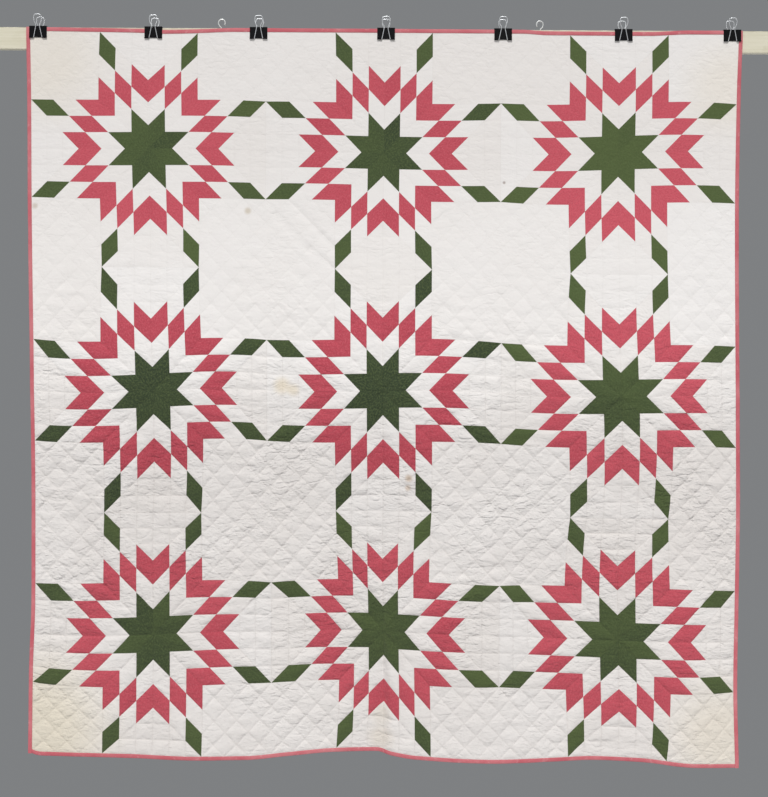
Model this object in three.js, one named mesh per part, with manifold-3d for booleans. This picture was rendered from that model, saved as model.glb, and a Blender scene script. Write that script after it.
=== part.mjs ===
// A quilt of nine pieced stars, clipped to a painted batten that hangs from two screw hooks.
// Sizes are in millimetres. +Z is up, and the quilt's front faces -Y.
// The origin is the middle of the batten's back face.
import * as THREE from "three";
import Module from "manifold-3d";
import { mergeVertices } from "three/addons/utils/BufferGeometryUtils.js";

const wasm = await Module();
wasm.setup();

// The batten, a board of nominal 1 by 3 inches
const BATTEN = { length: 2438, thick: 19, height: 63.5, easing: 1.5 };
const BATTEN_TOP = BATTEN.height / 2;

// The patchwork. Places on the flat cloth, u to the right and v up, count in sides of one diamond patch.
const PATCHES = 3; // diamonds along each side of a star's point
const POINTS = 8; // points of a star
const HALF_BLOCK = PATCHES * (1 + Math.SQRT1_2);
const SQUARE = Math.SQRT1_2; // side of the squares quilted at a block's sides
const CORNER = PATCHES * SQUARE; // where a plain corner square begins, from the block's middle
const HALF_SQUARE = PATCHES; // half the side of the plain square where four blocks meet
const BLOCKS = 3; // blocks in each direction
const EDGE = BLOCKS * HALF_BLOCK; // half the patchwork's width
const SLIM = 0.01; // less than any cell

// The hung patchwork, with blocks of different sizes
const LEFT_EDGE = -1014; // x of the patchwork's left edge
const COLUMN_WIDTHS = [682, 662, 688]; // from the left
const ROW_HEIGHTS = [684, 701, 707]; // from the top
const LENGTH = ROW_HEIGHTS.reduce((sum, height) => sum + height, 0);
const PATCH_SIDE = LENGTH / (2 * EDGE);

// How far the blocks' middles and the seams between them hang to the right of their regular places,
// from left to right in each row of blocks
const ACROSS = [
  { row: 0, middle1: -3, seam1: -7, middle2: 2.5, seam2: 8, middle3: 2.5 },
  { row: 1, middle1: 14.5, seam1: 0, middle2: 3, seam2: 13, middle3: 15.5 },
  { row: 2, middle1: 20, seam1: 18, middle2: 8.5, seam2: 10.5, middle3: 8.5 },
];

// How far they hang above their regular places, from the top down in each column
const DOWN = [
  { column: 0, middle1: 5, seam1: 5.5, middle2: 0.5, seam2: -0.5, middle3: 4.5 },
  { column: 1, middle1: -4, seam1: 3.5, middle2: 4, seam2: 8.5, middle3: 16.5 },
  { column: 2, middle1: 0, seam1: -7.5, middle2: -10, seam2: -10.5, middle3: -7 },
];
const PLACES = ["middle1", "seam1", "middle2", "seam2", "middle3"];

// The blocks' shapes, as shifts in a block's middle. For each patch side up, lean is the shift to the right
// and high the shift up. For each patch side to the right, wide is the shift to the right and slope the
// shift up.
const SHAPES = [
  { row: 0, column: 0, lean: -1.3, slope: 0.9, wide: 2, high: 1.4 },
  { row: 0, column: 1, lean: 0.7, slope: -1.1, wide: -0.9, high: -0.2 },
  { row: 0, column: 2, lean: 0.8, slope: 2.6, wide: 1.3, high: 1.6 },
  { row: 1, column: 0, lean: -1.9, slope: 3.9, wide: 3.6, high: -0.8 },
  { row: 1, column: 1, lean: -0.6, slope: 1.8, wide: 0.5, high: 2.5 },
  { row: 1, column: 2, lean: -2.3, slope: 1.6, wide: 6.1, high: 0.8 },
  { row: 2, column: 0, lean: -0.7, slope: 3, wide: 1, high: 4 },
  { row: 2, column: 1, lean: -1.2, slope: -1.7, wide: -3.6, high: 2.4 },
  { row: 2, column: 2, lean: -1.9, slope: -1.6, wide: 7, high: 4.5 },
];

// The side edges' shifts to the right, by the drop from the batten's top
const SIDE_LINES = [
  { drop: 20, left: -5, right: 4 },
  { drop: 200, left: -1, right: -1.5 },
  { drop: 520, left: 2.5, right: -5 },
  { drop: 1010, left: 12, right: -1 },
  { drop: 1360, left: 18.5, right: 1.5 },
  { drop: 1650, left: 20, right: -2 },
  { drop: 1870, left: 14.5, right: -5.5 },
  { drop: 2110, left: 13.5, right: -0.5 },
];

// How far the top edge sags below the batten's top, by x
const TOP_LINE = [
  { x: -1025, sag: 0 },
  { x: -875, sag: 1.5 },
  { x: -700, sag: 4 },
  { x: -640, sag: 6.5 },
  { x: -560, sag: 5 },
  { x: -425, sag: 0 },
  { x: 0, sag: 0 },
  { x: 400, sag: 0.5 },
  { x: 470, sag: 4.5 },
  { x: 760, sag: 5 },
  { x: 880, sag: 0 },
  { x: 1025, sag: 0 },
];

// How far the hem hangs above its regular line, by x
const HEM_LINE = [
  { x: -1025, rise: 36 },
  { x: -976, rise: 19 },
  { x: -731, rise: 17 },
  { x: -530, rise: 9 },
  { x: -386, rise: 9 },
  { x: -271, rise: 18.5 },
  { x: -127, rise: 30.5 },
  { x: -9, rise: 33 },
  { x: 32, rise: 24.5 },
  { x: 104, rise: 14 },
  { x: 334, rise: 5 },
  { x: 507, rise: 9.5 },
  { x: 622, rise: 13.5 },
  { x: 737, rise: 11.5 },
  { x: 910, rise: -3 },
  { x: 1029, rise: -3 },
];

// How far the cloth stands forward of its top edge, halfway down and at the hem, by x
const FOLDS = [
  { x: -1025, middle: 1, hem: 6 },
  { x: -904, middle: 2, hem: 14 },
  { x: -731, middle: 3, hem: 24 },
  { x: -530, middle: 3, hem: 20 },
  { x: -357, middle: 2, hem: 6 },
  { x: -213, middle: 0, hem: -4 },
  { x: -98, middle: 0, hem: -9 },
  { x: -9, middle: -1, hem: -11 },
  { x: 32, middle: 3, hem: 8 },
  { x: 104, middle: 3, hem: 16 },
  { x: 276, middle: 4, hem: 22 },
  { x: 449, middle: 2, hem: 12 },
  { x: 593, middle: 0, hem: 2 },
  { x: 737, middle: 2, hem: 14 },
  { x: 910, middle: 3, hem: 26 },
  { x: 1029, middle: 2, hem: 20 },
];
const FOLDS_FROM = 90; // the drop where the folds begin
const CREASE = { rise: 2.5, reach: 30 }; // the old fold across the middle row

// The quilt's section
const CLOTH_BACK = 20.6; // the cloth's back at the top edge, forward of the batten's back face
const THICK = 3; // along the quilting lines
const MARGIN = 10.5; // the bare edge inside the binding
const PUFF = { star: 1.8, plain: 1.4, lower: 1.1 }; // rise between the lines, and what is added at the hem
const PRESSED = { from: 25, to: 110 }; // the drops between which the rise begins

// The binding, a folded strip
const BINDING = { wide: 11.6, leaf: 0.7, gap: 0.3, corner: 0.7 };

// The clips
const CLIP = { width: 50.8, sheet: 0.7, drop: 32.4, rise: 3, gap: 0.3 };
const WIRE = { radius: 1.1, sides: 5, loop: 11.4, waist: 5.4, length: 66 };
const CURL = { from: 12.8, steps: 6, arc: 1.6 * Math.PI };
const CLIPS = [
  { x: -996, front: 7, back: 2 },
  { x: -664, front: 3, back: 6 },
  { x: -361, front: 2, back: 5 },
  { x: 6, front: 0, back: 3 },
  { x: 343, front: 5, back: 2 },
  { x: 690, front: 4, back: 8 },
  { x: 1003, front: 6, back: 3 },
];

// The screw hooks
const HOOK = { wire: 1.6, sides: 8, sunk: 14, hole: 2.1, spare: 0.6 };
const HOOKS = [
  { name: "hook_left", x: -469, side: 1 },
  { name: "hook_right", x: 450, side: -1 },
];

const MATERIALS = {
  muslin: new THREE.MeshStandardMaterial({ color: 0xe2dcd2, roughness: 0.95, metalness: 0 }),
  pink: new THREE.MeshStandardMaterial({ color: 0xbd6f78, roughness: 0.95, metalness: 0 }),
  paint: new THREE.MeshStandardMaterial({ color: 0xd2cdb5, roughness: 0.6, metalness: 0 }),
  black: new THREE.MeshStandardMaterial({ color: 0x15161a, roughness: 0.35, metalness: 0.3 }),
  nickel: new THREE.MeshStandardMaterial({ color: 0xc8cacc, roughness: 0.25, metalness: 1 }),
};

const part = new THREE.Group();

function place(name, geometry, material) {
  const mesh = new THREE.Mesh(geometry, material);
  mesh.name = name;
  part.add(mesh);
  return mesh;
}

// Curves through tables

function ease(t) {
  const s = THREE.MathUtils.clamp(t, 0, 1);
  return s * s * (3 - 2 * s);
}

// The smooth curve of one column of a table over another, which turns only at the table's rows
function along(table, key, column, at) {
  const last = table.length - 1;
  const from = table.findIndex((row, i) => i === last - 1 || at < table[i + 1][key]);
  const step = (i) => (table[i + 1][column] - table[i][column]) / (table[i + 1][key] - table[i][key]);
  const slope = (i) => {
    const [before, after] = [step(Math.max(i - 1, 0)), step(Math.min(i, last - 1))];
    return before * after <= 0 ? 0 : (2 * before * after) / (before + after);
  };
  const [a, b] = [table[from], table[from + 1]];
  const span = b[key] - a[key];
  const t = THREE.MathUtils.clamp((at - a[key]) / span, 0, 1);
  const s = ease(t);
  const bend = slope(from) * t * (1 - t) * (1 - t) - slope(from + 1) * t * t * (1 - t);
  return a[column] * (1 - s) + b[column] * s + bend * span;
}

// The distance from the first edge of a row of blocks, t counting in blocks from its middle
function blockPlace(t, sizes) {
  const at = THREE.MathUtils.clamp(t + BLOCKS / 2, 0, BLOCKS);
  const block = Math.min(Math.floor(at), BLOCKS - 1);
  const before = sizes.slice(0, block).reduce((sum, size) => sum + size, 0);
  return before + (at - block) * sizes[block];
}

// The shift t half blocks from the first edge, between the two edges' shifts and a table's.
// The place between the table's rows is beside.
function shiftAt(table, beside, t, first, last) {
  const row = Math.min(Math.floor(beside), table.length - 2);
  const shift = (k) => {
    if (k === 0) return first;
    if (k > PLACES.length) return last;
    const place = PLACES[k - 1];
    return THREE.MathUtils.lerp(table[row][place], table[row + 1][place], ease(beside - row));
  };
  const k = Math.min(Math.floor(t), PLACES.length);
  return THREE.MathUtils.lerp(shift(k), shift(k + 1), ease(t - k));
}

// The shift from each block's own shape, which fades towards the block's edges
function shapeAt(u, v) {
  const nearest = (t) => THREE.MathUtils.clamp(Math.round(t / (2 * HALF_BLOCK)), -1, 1);
  const [column, row] = [nearest(u) + 1, 1 - nearest(v)];
  const { lean, slope, wide, high } = SHAPES[row * BLOCKS + column];
  const over = u - (column - 1) * 2 * HALF_BLOCK;
  const up = v - (1 - row) * 2 * HALF_BLOCK;
  const share = (1 - (over / HALF_BLOCK) ** 2) * (1 - (up / HALF_BLOCK) ** 2);
  return { right: share * (lean * up + wide * over), up: share * (slope * over + high * up) };
}

// Where a place on the flat cloth hangs: x, z, how far its back is forward of the batten's, and its drop
function hang(u, v) {
  const [p, q] = [u / (2 * HALF_BLOCK), v / (2 * HALF_BLOCK)];
  const drop = BINDING.wide + blockPlace(-q, ROW_HEIGHTS);
  const shape = shapeAt(u, v);
  const beside = (t) => THREE.MathUtils.clamp(t + 1, 0, BLOCKS - 1);
  const fromFirst = (t) => THREE.MathUtils.clamp(2 * t + BLOCKS, 0, 2 * BLOCKS);
  const [left, right] = ["left", "right"].map((side) => along(SIDE_LINES, "drop", side, drop));
  const across = shiftAt(ACROSS, beside(-q), fromFirst(p), left, right);
  const x = LEFT_EDGE + blockPlace(p, COLUMN_WIDTHS) + across + shape.right;
  const [sag, hemRise] = [along(TOP_LINE, "x", "sag", x), along(HEM_LINE, "x", "rise", x)];
  const rise = shiftAt(DOWN, beside(p), fromFirst(-q), -sag, hemRise) + shape.up;
  const t = THREE.MathUtils.clamp((drop - FOLDS_FROM) / (LENGTH - FOLDS_FROM), 0, 1);
  const middle = along(FOLDS, "x", "middle", x) * Math.sin(Math.PI * t);
  const hem = along(FOLDS, "x", "hem", x) * t ** 3;
  const crease = CREASE.rise * Math.exp((-Math.abs(v) * PATCH_SIDE) / CREASE.reach);
  return { x, z: BATTEN_TOP - drop + rise, forward: CLOTH_BACK + middle + hem + crease, drop };
}

// The point in front of a place on the flat cloth, lifted forward off the cloth's back
function pointAt({ u, v, right = 0, up = 0 }, lift) {
  const tidy = (t) => Math.round(t * 1e6) / 1e6;
  const { x, z, forward } = hang(tidy(u), tidy(v));
  return new THREE.Vector3(x + right, -(forward + lift), z + up);
}

// The rise of the cloth between its quilting lines
function puffAt(u, v, rise) {
  const { drop } = hang(u, v);
  const full = rise + PUFF.lower * ease(drop / LENGTH);
  return full * ease((drop - PRESSED.from) / (PRESSED.to - PRESSED.from));
}

// Solids from triangles

function weld(geometry) {
  const bare = geometry.clone();
  bare.deleteAttribute("normal");
  bare.deleteAttribute("uv");
  const welded = mergeVertices(bare, 1e-3);
  welded.computeVertexNormals();
  return welded;
}

// A closed skin over rings that each place the points of one section, with its two ends filled
function loft(rings, section) {
  const points = [];
  const count = rings[0].length;
  for (let k = 0; k + 1 < rings.length; k++) {
    for (let i = 0; i < count; i++) {
      const j = (i + 1) % count;
      points.push(rings[k][i], rings[k][j], rings[k + 1][i]);
      points.push(rings[k][j], rings[k + 1][j], rings[k + 1][i]);
    }
  }
  const outline = section.map(([a, b]) => new THREE.Vector2(a, b));
  for (const [a, b, c] of THREE.ShapeUtils.triangulateShape(outline, [])) {
    points.push(rings[0][a], rings[0][c], rings[0][b]);
    points.push(rings.at(-1)[a], rings.at(-1)[b], rings.at(-1)[c]);
  }
  return outward(weld(new THREE.BufferGeometry().setFromPoints(points)));
}

// Quilt: the front and back of each cell between quilting lines, then the bare edge

class Sheet {
  points = [];

  front(...spots) {
    this.points.push(...spots.map((spot) => pointAt(spot, THICK + (spot.puff ?? 0))));
  }

  back(...spots) {
    this.points.push(...spots.map((spot) => pointAt(spot, 0)).reverse());
  }

  both(...spots) {
    this.front(...spots);
    this.back(...spots);
  }

  // The front of a cell of three or four corners, with one raised point in its middle
  puffed(corners, rise) {
    const u = corners.reduce((sum, c) => sum + c.u, 0) / corners.length;
    const v = corners.reduce((sum, c) => sum + c.v, 0) / corners.length;
    const top = { u, v, puff: puffAt(u, v, rise) };
    corners.forEach((corner, i) => this.front(corner, corners[(i + 1) % corners.length], top));
  }

  backing(corners) {
    this.back(corners[0], corners[1], corners.at(-1));
    if (corners.length === 4) this.back(corners[1], corners[2], corners[3]);
  }

  cell(corners, rise) {
    this.puffed(corners, rise);
    this.backing(corners);
  }

  rim(a, b) {
    const [frontA, backA] = [pointAt(a, THICK), pointAt(a, 0)];
    const [frontB, backB] = [pointAt(b, THICK), pointAt(b, 0)];
    this.points.push(frontA, backA, frontB, backA, backB, frontB);
  }
}

function gridOf(steps) {
  return steps.flatMap((v) => steps.map((u) => ({ u, v })));
}

const BLOCK_MIDDLES = gridOf([-2, 0, 2].map((n) => n * HALF_BLOCK));
const BLOCK_CORNERS = gridOf([-3, -1, 1, 3].map((n) => n * HALF_BLOCK));

// A star's diamonds: each point is a rhombus between two directions 45 degrees apart
function starCells(sheet, middle) {
  for (let k = 0; k < POINTS; k++) {
    const [a, b] = [k, k + 1].map((n) => (n * 2 * Math.PI) / POINTS);
    const spot = (i, j) => ({
      u: middle.u + i * Math.cos(a) + j * Math.cos(b),
      v: middle.v + i * Math.sin(a) + j * Math.sin(b),
    });
    for (let i = 0; i < PATCHES; i++) {
      for (let j = 0; j < PATCHES; j++) {
        sheet.cell([spot(i, j), spot(i + 1, j), spot(i + 1, j + 1), spot(i, j + 1)], PUFF.star);
      }
    }
  }
}

// The plain square around a block corner, quilted in upright diamonds. The quilt's edges cut it short.
function squareCells(sheet, middle) {
  const within = (u, v) => Math.max(Math.abs(u), Math.abs(v)) < HALF_SQUARE + SLIM
    && Math.max(Math.abs(middle.u + u), Math.abs(middle.v + v)) < EDGE + SLIM;
  const ways = [{ u: 0.5, v: 0 }, { u: 0, v: 0.5 }, { u: -0.5, v: 0 }, { u: 0, v: -0.5 }];
  const reach = 2 * HALF_SQUARE;
  for (let i = -reach; i <= reach; i++) {
    for (let j = -reach; j <= reach; j++) {
      const [u, v] = [i / 2, j / 2];
      if ((i + j) % 2 === 0 || !within(u, v)) continue;
      const corners = ways.map((way) => ({ u: u + way.u, v: v + way.v })).filter((c) => within(c.u, c.v));
      sheet.puffed(corners.map((c) => ({ u: middle.u + c.u, v: middle.v + c.v })), PUFF.plain);
    }
  }
  for (let u = -HALF_SQUARE; u < HALF_SQUARE; u++) {
    for (let v = -HALF_SQUARE; v < HALF_SQUARE; v++) {
      if (!within(u + 0.5, v + 0.5)) continue;
      const corners = [[0, 0], [1, 0], [1, 1], [0, 1]];
      sheet.backing(corners.map(([a, b]) => ({ u: middle.u + u + a, v: middle.v + v + b })));
    }
  }
}

// The four plain triangles at a block's sides, quilted in squares along the block's edge
function sideCells(sheet, middle) {
  for (let k = 0; k < 4; k++) {
    const turn = (k * Math.PI) / 2;
    const spot = ([over, depth]) => {
      const out = HALF_BLOCK - depth * SQUARE;
      const side = over * SQUARE;
      return {
        u: middle.u + out * Math.cos(turn) - side * Math.sin(turn),
        v: middle.v + out * Math.sin(turn) + side * Math.cos(turn),
      };
    };
    for (let depth = 0; depth < PATCHES; depth++) {
      const reach = PATCHES - depth;
      const [low, high] = [depth, depth + 1];
      sheet.cell([[-reach, low], [1 - reach, low], [1 - reach, high]].map(spot), PUFF.plain);
      sheet.cell([[reach - 1, low], [reach, low], [reach - 1, high]].map(spot), PUFF.plain);
      for (let over = 1 - reach; over < reach - 1; over++) {
        const corners = [[over, low], [over + 1, low], [over + 1, high], [over, high]];
        sheet.cell(corners.map(spot), PUFF.plain);
      }
    }
  }
}

// The places along one side of the patchwork where a quilting line or a seam ends
function sideStations() {
  const offsets = [-HALF_BLOCK, 1 - HALF_BLOCK, 2 - HALF_BLOCK,
    ...Array.from({ length: 2 * PATCHES + 1 }, (_, i) => (i - PATCHES) * SQUARE), CORNER + 1, CORNER + 2];
  return [...[-2, 0, 2].flatMap((n) => offsets.map((offset) => n * HALF_BLOCK + offset)), EDGE];
}

// The four sides in turn, anticlockwise from the front, as places on the patchwork's edge
function sidesOfRim() {
  const up = sideStations();
  const down = [...up].reverse();
  return [
    { name: "bottom", out: { right: 0, up: -1 }, spots: up.map((t) => ({ u: t, v: -EDGE })) },
    { name: "right", out: { right: 1, up: 0 }, spots: up.map((t) => ({ u: EDGE, v: t })) },
    { name: "top", out: { right: 0, up: 1 }, spots: down.map((t) => ({ u: t, v: EDGE })) },
    { name: "left", out: { right: -1, up: 0 }, spots: down.map((t) => ({ u: -EDGE, v: t })) },
  ];
}

// The bare edge that lies inside the binding
function bareEdge(sheet) {
  const sides = sidesOfRim();
  const ring = sides.flatMap(({ out, spots }, i) => {
    const next = sides[(i + 1) % sides.length].out;
    const move = (spot, right, up) => ({ ...spot, right: right * MARGIN, up: up * MARGIN });
    const corner = move(spots.at(-1), out.right + next.right, out.up + next.up);
    return [...spots.map((spot) => move(spot, out.right, out.up)), corner];
  });
  ring.forEach((a, i) => {
    const b = ring[(i + 1) % ring.length];
    const [innerA, innerB] = [{ u: a.u, v: a.v }, { u: b.u, v: b.v }];
    sheet.both(a, b, innerB);
    if (a.u !== b.u || a.v !== b.v) sheet.both(a, innerB, innerA);
    sheet.rim(a, b);
  });
}

function makeQuilt() {
  const sheet = new Sheet();
  for (const middle of BLOCK_MIDDLES) {
    starCells(sheet, middle);
    sideCells(sheet, middle);
  }
  for (const corner of BLOCK_CORNERS) squareCells(sheet, corner);
  bareEdge(sheet);
  place("quilt", weld(new THREE.BufferGeometry().setFromPoints(sheet.points)), MATERIALS.muslin);
}

// Binding: a folded strip along each side. The upright strips reach over the level ones' ends.

function bindingSection() {
  const { wide, leaf, gap, corner } = BINDING;
  const inner = MARGIN + gap;
  return [
    [0, -gap], [0, -gap - leaf], [wide - corner, -gap - leaf], [wide, THICK / 2],
    [wide - corner, THICK + gap + leaf], [0, THICK + gap + leaf], [0, THICK + gap],
    [inner, THICK + gap], [inner, -gap],
  ];
}

function makeBinding({ name, out, spots }) {
  const upright = out.up === 0;
  const first = spots[0];
  const last = spots.at(-1);
  const way = upright ? Math.sign(last.v - first.v) : Math.sign(last.u - first.u);
  const reach = upright ? BINDING.wide : -BINDING.gap;
  const past = (spot, sign) => (upright ? { ...spot, up: sign * reach } : { ...spot, right: sign * reach });
  const stations = upright
    ? [past(first, -way), ...spots, past(last, way)]
    : [past(first, -way), ...spots.slice(1, -1), past(last, way)];
  const section = bindingSection();
  const rings = stations.map((spot) => section.map(([outward, lift]) => {
    const { right = 0, up = 0 } = spot;
    return pointAt({ ...spot, right: right + out.right * outward, up: up + out.up * outward }, lift);
  }));
  place(`binding_${name}`, loft(rings, section), MATERIALS.pink);
}

// The same solid with its faces pointing out
function outward(geometry) {
  const at = geometry.getAttribute("position");
  const corner = (i) => new THREE.Vector3().fromBufferAttribute(at, geometry.index.getX(i));
  let volume = 0;
  for (let i = 0; i < geometry.index.count; i += 3) {
    volume += corner(i).dot(corner(i + 1).cross(corner(i + 2)));
  }
  if (volume > 0) return geometry;
  for (let i = 0; i < geometry.index.count; i += 3) {
    const kept = geometry.index.getX(i);
    geometry.index.setX(i, geometry.index.getX(i + 1));
    geometry.index.setX(i + 1, kept);
  }
  geometry.computeVertexNormals();
  return geometry;
}

// Cuts and joins

function toSolid(geometry) {
  const welded = weld(geometry);
  return new wasm.Manifold(new wasm.Mesh({
    numProp: 3,
    vertProperties: new Float32Array(welded.getAttribute("position").array),
    triVerts: new Uint32Array(welded.index.array),
  }));
}

function fromSolid(solid) {
  const mesh = solid.getMesh();
  const geometry = new THREE.BufferGeometry();
  geometry.setAttribute("position", new THREE.BufferAttribute(new Float32Array(mesh.vertProperties), 3));
  geometry.setIndex(new THREE.BufferAttribute(new Uint32Array(mesh.triVerts), 1));
  return weld(geometry);
}

// A section in y and z, extruded along x
function prism(section, fromX, toX) {
  const shape = new THREE.Shape(section.map(([y, z]) => new THREE.Vector2(y, z)));
  const geometry = new THREE.ExtrudeGeometry(shape, { depth: toX - fromX, bevelEnabled: false });
  const [x, y, z] = [new THREE.Vector3(1, 0, 0), new THREE.Vector3(0, 1, 0), new THREE.Vector3(0, 0, 1)];
  geometry.applyMatrix4(new THREE.Matrix4().makeBasis(y, z, x));
  geometry.translate(fromX, 0, 0);
  return geometry;
}

// Batten, with a blind hole for each hook

function makeBatten() {
  const { length, thick, height, easing } = BATTEN;
  const [y, z] = [thick / 2, height / 2];
  const corners = [[1, 1], [-1, 1], [-1, -1], [1, -1]];
  const section = corners.flatMap(([a, b]) => {
    const ends = [[a * y, b * (z - easing)], [a * (y - easing), b * z]];
    return a * b > 0 ? ends : ends.reverse();
  }).map(([a, b]) => [a - y, b]);
  const board = toSolid(prism(section, -length / 2, length / 2));
  const holes = HOOKS.map(({ x }) => {
    const deep = HOOK.sunk + HOOK.spare;
    const hole = new THREE.CylinderGeometry(HOOK.hole, HOOK.hole, 2 * deep, HOOK.sides).rotateX(Math.PI / 2);
    return toSolid(hole.translate(x, -y, BATTEN_TOP));
  });
  place("batten", fromSolid(holes.reduce((solid, hole) => solid.subtract(hole), board)), MATERIALS.paint);
}

// Wires, swept along a route's own points

class Route extends THREE.Curve {
  constructor(points) {
    super();
    this.stops = points;
  }

  stop(t) {
    return Math.round(t * (this.stops.length - 1));
  }

  getPointAt(t, target = new THREE.Vector3()) {
    return target.copy(this.stops[this.stop(t)]);
  }

  getTangentAt(t, target = new THREE.Vector3()) {
    const i = this.stop(t);
    const before = this.stops[Math.max(i - 1, 0)];
    const after = this.stops[Math.min(i + 1, this.stops.length - 1)];
    return target.subVectors(after, before).normalize();
  }
}

function wireGeometry(points, radius, sides) {
  const ring = Array.from({ length: sides }, (_, i) => {
    const turn = ((i + 0.5) * 2 * Math.PI) / sides;
    return new THREE.Vector2(radius * Math.cos(turn), radius * Math.sin(turn));
  });
  const options = { steps: points.length - 1, extrudePath: new Route(points), bevelEnabled: false };
  return weld(new THREE.ExtrudeGeometry(new THREE.Shape(ring), options));
}

// Clips: a folded sheet with a rolled tube on each jaw, and two wire handles that pivot in the tubes

const JAW_FRONT = -(CLOTH_BACK + THICK + BINDING.gap + BINDING.leaf + CLIP.gap); // the front jaw's inner face
const JAW_BACK = CLIP.gap; // the rear jaw's inner face
const TUBE = WIRE.radius + CLIP.gap + CLIP.sheet; // the rolled tube's outer radius
const PIVOT = {
  z: BATTEN_TOP - CLIP.drop + TUBE,
  front: JAW_FRONT - TUBE,
  back: JAW_BACK + TUBE,
};

function clipBody() {
  const { sheet, rise, width } = CLIP;
  const top = BATTEN_TOP + rise;
  const [front, back] = [JAW_FRONT - sheet, JAW_BACK + sheet];
  const bow = sheet * 0.6;
  const plate = [
    [front, PIVOT.z], [JAW_FRONT, PIVOT.z], [JAW_FRONT, top - sheet - bow], [(front + back) / 2, top - sheet],
    [JAW_BACK, top - sheet - bow], [JAW_BACK, PIVOT.z], [back, PIVOT.z], [back, top - bow],
    [(front + back) / 2, top], [front, top - bow],
  ];
  const solids = [toSolid(outward(weld(prism(plate, -width / 2, width / 2))))];
  for (const [pivot, side] of [[PIVOT.front, 1], [PIVOT.back, -1]]) {
    const arc = (radius) => Array.from({ length: CURL.steps + 1 }, (_, i) => {
      const turn = -(i / CURL.steps) * CURL.arc;
      return [pivot + side * radius * Math.cos(turn), PIVOT.z + radius * Math.sin(turn)];
    });
    const section = [...arc(TUBE), ...arc(TUBE - sheet).reverse()];
    for (const [from, to] of [[CURL.from, width / 2], [-width / 2, -CURL.from]]) {
      solids.push(toSolid(outward(weld(prism(section, from, to)))));
    }
  }
  return fromSolid(solids.reduce((sum, solid) => sum.add(solid)));
}

// A handle's route, across and up from its pivot: an outturned end, a leg, the waist, and half the loop
function handleRoute() {
  const { loop, waist, length, radius } = WIRE;
  const half = [
    [2 * loop - 1.5, 0], [loop + radius, 0], [loop, radius], [waist, length * 0.47],
    [waist, length * 0.55], [loop * 0.92, length * 0.7], [loop, length * 0.8],
    [loop * 0.82, length * 0.92], [loop * 0.4, length - radius],
  ];
  return [...half, ...half.map(([across, up]) => [-across, up]).reverse()];
}

function makeClip({ x, front, back }, number) {
  const group = new THREE.Group();
  group.position.x = x;
  part.add(group);
  const add = (name, geometry, material, pivot, tilt) => {
    const mesh = place(`clip_${number}_${name}`, geometry, material);
    mesh.position.set(0, pivot, pivot === 0 ? 0 : PIVOT.z);
    mesh.rotation.x = THREE.MathUtils.degToRad(tilt);
    group.add(mesh);
  };
  const route = handleRoute().map(([across, up]) => new THREE.Vector3(across, 0, up));
  const handle = wireGeometry(route, WIRE.radius, WIRE.sides);
  add("body", clipBody(), MATERIALS.black, 0, 0);
  add("handle_front", handle, MATERIALS.nickel, PIVOT.front, front);
  add("handle_back", handle.clone(), MATERIALS.nickel, PIVOT.back, -back);
}

// Hooks: a shank sunk in the batten's top edge and an open crook above it

function makeHook({ name, x, side }) {
  const route = [
    [0, -HOOK.sunk], [0, 1.5], [-2.5, 5], [-7.5, 10], [-10, 17.5], [-7.2, 25], [0, 28.5], [7, 26], [10, 20],
    [9.7, 15], [8.6, 12.5],
  ].map(([across, up]) => new THREE.Vector3(x + side * across, -BATTEN.thick / 2, BATTEN_TOP + up));
  place(name, wireGeometry(route, HOOK.wire, HOOK.sides), MATERIALS.nickel);
}

makeQuilt();
sidesOfRim().forEach(makeBinding);
makeBatten();
CLIPS.forEach((clip, i) => makeClip(clip, i + 1));
HOOKS.forEach(makeHook);

export default part;
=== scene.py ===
"""A patchwork quilt of nine eight-pointed stars, clipped to a painted batten.

Lengths in the tables are in millimetres. +Z is up, and the quilt's front faces -Y.
"""

import math

import bpy
import numpy as np
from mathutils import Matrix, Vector, noise


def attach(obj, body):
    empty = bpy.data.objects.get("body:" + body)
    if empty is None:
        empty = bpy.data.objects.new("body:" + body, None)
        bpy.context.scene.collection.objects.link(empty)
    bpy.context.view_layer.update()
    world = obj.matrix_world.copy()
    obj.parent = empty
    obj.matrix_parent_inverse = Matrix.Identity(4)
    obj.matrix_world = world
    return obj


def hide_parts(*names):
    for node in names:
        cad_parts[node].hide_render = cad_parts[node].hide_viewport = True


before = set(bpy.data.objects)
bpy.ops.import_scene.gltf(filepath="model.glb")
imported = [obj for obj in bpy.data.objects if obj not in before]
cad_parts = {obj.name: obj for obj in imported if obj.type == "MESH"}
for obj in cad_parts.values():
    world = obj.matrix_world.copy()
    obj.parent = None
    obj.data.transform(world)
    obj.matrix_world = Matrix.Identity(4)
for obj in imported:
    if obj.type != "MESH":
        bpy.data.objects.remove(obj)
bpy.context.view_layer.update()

MM = 0.001

# Sizes, as in the solids

BATTEN_TOP = 31.75
PATCHES = 3  # diamonds along each side of a star's point
HALF_BLOCK = PATCHES * (1 + math.sqrt(0.5))
SQUARE = math.sqrt(0.5)  # side of the squares quilted at a block's sides
HALF_SQUARE = PATCHES  # half the side of the plain square where four blocks meet
EDGE = 3 * HALF_BLOCK  # half the patchwork's width, in patch sides

LEFT_EDGE = -1014.0
COLUMN_WIDTHS = np.array([682.0, 662, 688])
ROW_HEIGHTS = np.array([684.0, 701, 707])
LENGTH = ROW_HEIGHTS.sum()
PATCH_SIDE = LENGTH / (2 * EDGE)

# How far the blocks' middles and the seams between them hang to the right of their regular places, by row:
# middle, seam, middle, seam, middle
ACROSS = np.array([(-3, -7, 2.5, 8, 2.5), (14.5, 0, 3, 13, 15.5), (20, 18, 8.5, 10.5, 8.5)])
# How far they hang above their regular places, from the top down, by column
DOWN = np.array([(5, 5.5, 0.5, -0.5, 4.5), (-4, 3.5, 4, 8.5, 16.5), (0, -7.5, -10, -10.5, -7)])
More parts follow.
